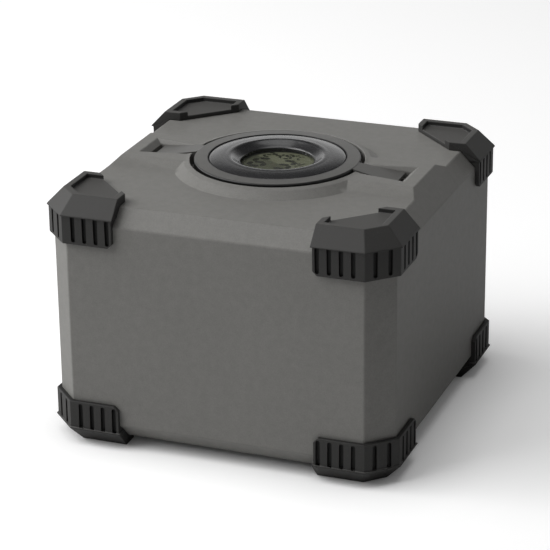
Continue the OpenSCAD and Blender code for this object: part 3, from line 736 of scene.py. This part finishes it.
desiccant = bead_gel("desiccant", (0.72, 0.24, 0.05))
print("made", desiccant.name)

# %% [markdown]
# Loose beads lie on top of the filled canister. Each is a ball of few faces.
# They are laid in jittered rings with a fixed seed, so that every run gives the
# same heap.

# %% A layer of loose beads
def bead_layer(radius, level, bead_r):
    shape = bmesh.new()
    dice = random.Random(7)
    pitch = bead_r * 2.05
    ring = 0
    while ring * pitch < radius - bead_r:
        count = max(1, int(2 * pi * ring))
        for i in range(count):
            turn = 2 * pi * (i + dice.uniform(-0.12, 0.12)) / count + ring
            reach = min(ring * pitch + dice.uniform(-0.15, 0.15), radius - bead_r)
            at = Vector((reach * cos(turn), reach * sin(turn), level + dice.uniform(-0.5, 0.0)))
            bmesh.ops.create_icosphere(
                shape, subdivisions=1, radius=bead_r * MM, matrix=Matrix.Translation(at * MM))
        ring += 1
    return shape


fill_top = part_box("desiccant_beads")[1].z / MM
bead_shape = bead_layer(radius=20.2, level=fill_top - 1.45, bead_r=1.5)
beads = put("bead_layer", bead_shape, "canister", desiccant, smooth_below=80)
print("beads:", len(beads.data.polygons), "faces")

# %% [markdown]
# ## Metal and circuit board
#
# The screws and the button cells are plated steel. It is brushed one way, so the
# noise is stretched along one direction. The board is green with a pale pattern
# of tracks under the coating, made from a brick texture whose mortar stands for
# the tracks.

# %% Plated steel
def plated_steel(name, colour, roughness):
    finish = Finish(name, Metallic=1.0)
    brushed = finish.noise(1.2, detail=4.0, place=finish.mapped(scale=(1, 14, 1)))
    spots = finish.noise(2.0, detail=3.0).step(0.58, 0.75)
    finish.feed(
        Base_Color=finish.mix(spots * 0.5 + brushed * 0.3, colour, shade(colour, 0.6)),
        Roughness=brushed * 0.16 + spots * 0.1 + (roughness - 0.1))
    finish.bump(brushed, 0.008, 0.4)
    return finish.material


screw_steel = plated_steel("screw_steel", (0.55, 0.55, 0.54), 0.28)
cell_steel = plated_steel("cell_steel", (0.63, 0.63, 0.62), 0.24)
print("made", screw_steel.name, cell_steel.name)

# %% Coated board
def coated_board(name, colour, track_colour):
    finish = Finish(name, Roughness=0.3, IOR=1.5, Coat_Roughness=0.12)
    tracks = finish.node(
        "ShaderNodeTexBrick", {"offset": 0.37, "squash": 1.0},
        {"Vector": finish.place, "Scale": 1 / (9 * MM), "Mortar Size": 0.018,
         "Mortar Smooth": 0.1, "Brick Width": 0.9, "Row Height": 0.28}, out="Fac")
    cloud = finish.noise(6, detail=2.0)
    green = finish.mix(cloud, shade(colour, 0.8), colour)
    finish.feed(
        Base_Color=finish.mix(tracks * 0.6, green, track_colour),
        Coat_Weight=cloud * 0.2 + 0.3)
    finish.bump(tracks, 0.03, 0.5)
    return finish.material


board_green = coated_board("board_green", (0.02, 0.13, 0.055), (0.12, 0.34, 0.14))
sensor_white = satin_plastic("sensor_white", (0.7, 0.7, 0.66), 0.5)
print("made", board_green.name, sensor_white.name)

# %% [markdown]
# ## Dressing the construction nodes
#
# Every node that keeps its own mesh gets a material by the slot that the record
# names for it, so a node can't be forgotten: the loop stops if a slot has no
# material here.

# %% Materials on every node
FINISHES = {
    "body_plastic": body_plastic, "lid_plastic": lid_plastic, "base_plastic": base_plastic,
    "screw_steel": screw_steel, "cup_plastic": cup_plastic, "seal_rubber": seal_rubber,
    "bumper_rubber": bumper_rubber, "bezel_gloss": bezel_gloss, "window_clear": window_clear,
    "lcd_face": lcd_face, "meter_plastic": meter_plastic, "board_green": board_green,
    "sensor_white": sensor_white, "cell_steel": cell_steel, "basket_plastic": basket_plastic,
    "canister_plastic": canister_plastic, "desiccant": desiccant, "filter_paper": filter_paper}
for part in frame["record"]["subparts"]:
    node = frame["nodes"][part["node"]]
    for slot in node.material_slots:
        slot.material = FINISHES[part["material_slot"]]
print("dressed", len(frame["nodes"]), "nodes")

# %% [markdown]
# ## Floor and light
#
# The object stands on a plain pale floor under soft studio light from the left
# and above. The floor is diffuse and keeps the shadow. For the camera alone it
# also glows a little, so that it reads as white without more light on the object.
# The glow is dimmed near the object, which paints a soft shadow round its foot.
# The world is a white sweep for the camera. In reflections it is white near the
# horizon and dark overhead, as in a studio. It gives the object no light of its own.

# %% Floor
def plain_floor(name, half, colour, glow, shelter):
    """A square floor; shelter is how far off, in millimetres, the object dims its glow into a
    painted shadow.
    """
    shape = bmesh.new()
    bmesh.ops.create_grid(shape, x_segments=1, y_segments=1, size=half)
    mesh = bpy.data.meshes.new(name)
    shape.to_mesh(mesh)
    shape.free()
    floor = bpy.data.objects.new(name, mesh)
    bpy.context.scene.collection.objects.link(floor)
    material = bpy.data.materials.new(name)
    material.use_nodes = True
    tree = material.node_tree
    tree.nodes.clear()
    nodes = Nodes(tree)
    diffuse = nodes.node("ShaderNodeBsdfDiffuse", {}, {"Color": (*colour, 1)})
    # painted shadow: ambient occlusion dims the camera glow near the object
    open_sky = nodes.node("ShaderNodeAmbientOcclusion", {}, {"Distance": shelter * MM}, out="AO")
    seen = nodes.ray("Is Camera Ray") * (open_sky * glow)
    light = nodes.node("ShaderNodeEmission", {}, {"Strength": seen})
    both = nodes.node("ShaderNodeAddShader", {}, {0: diffuse, 1: light})
    output = tree.nodes.new("ShaderNodeOutputMaterial")
    tree.links.new(both.socket, output.inputs["Surface"])
    mesh.materials.append(material)
    return floor


floor = plain_floor("floor", half=4.0, colour=(0.86, 0.86, 0.86), glow=0.34, shelter=25)
print("floor is", round(floor.dimensions.x, 1), "m wide")

# %% World
world = bpy.data.worlds.new("world")
bpy.context.scene.world = world
world.use_nodes = True
sky = Nodes(world.node_tree)
way = sky.node("ShaderNodeTexCoord", {}, {}, out="Generated")
height = sky.node("ShaderNodeSeparateXYZ", {}, {0: way}, out="Z")
studio = sky.node(
    "ShaderNodeMapRange", {"interpolation_type": "SMOOTHSTEP"},
    {"Value": height, "From Min": 0.12, "From Max": 0.55, "To Min": 1.0, "To Max": 0.04})
mirrored = sky.ray("Is Glossy Ray").largest(sky.ray("Is Transmission Ray"))
white = (mirrored * studio).largest(sky.ray("Is Camera Ray"))
backdrop = world.node_tree.nodes["Background"]
backdrop.inputs["Color"].default_value = (1, 1, 1, 1)
world.node_tree.links.new(white.socket, backdrop.inputs["Strength"])
print("world with", len(world.node_tree.nodes), "nodes")

# %% Softboxes
def softbox(name, azimuth, elevation, power, distance=1.6, size=1.2):
    """A square area light that faces the object, with angles in degrees."""
    light = bpy.data.lights.new(name, "AREA")
    light.shape = "SQUARE"
    light.size = size
    light.energy = power
    lamp = bpy.data.objects.new(name, light)
    bpy.context.scene.collection.objects.link(lamp)
    a, e = radians(azimuth), radians(elevation)
    away = Vector((sin(a) * cos(e), -cos(a) * cos(e), sin(e)))
    lamp.location = away * distance + Vector((0, 0, 0.05))
    lamp.rotation_mode = "QUATERNION"
    lamp.rotation_quaternion = away.to_track_quat("Z", "Y")
    return lamp


softbox("left_low", azimuth=-90, elevation=15, power=12)
softbox("left_high", azimuth=-60, elevation=45, power=20.5)
softbox("top", azimuth=0, elevation=88, power=8)
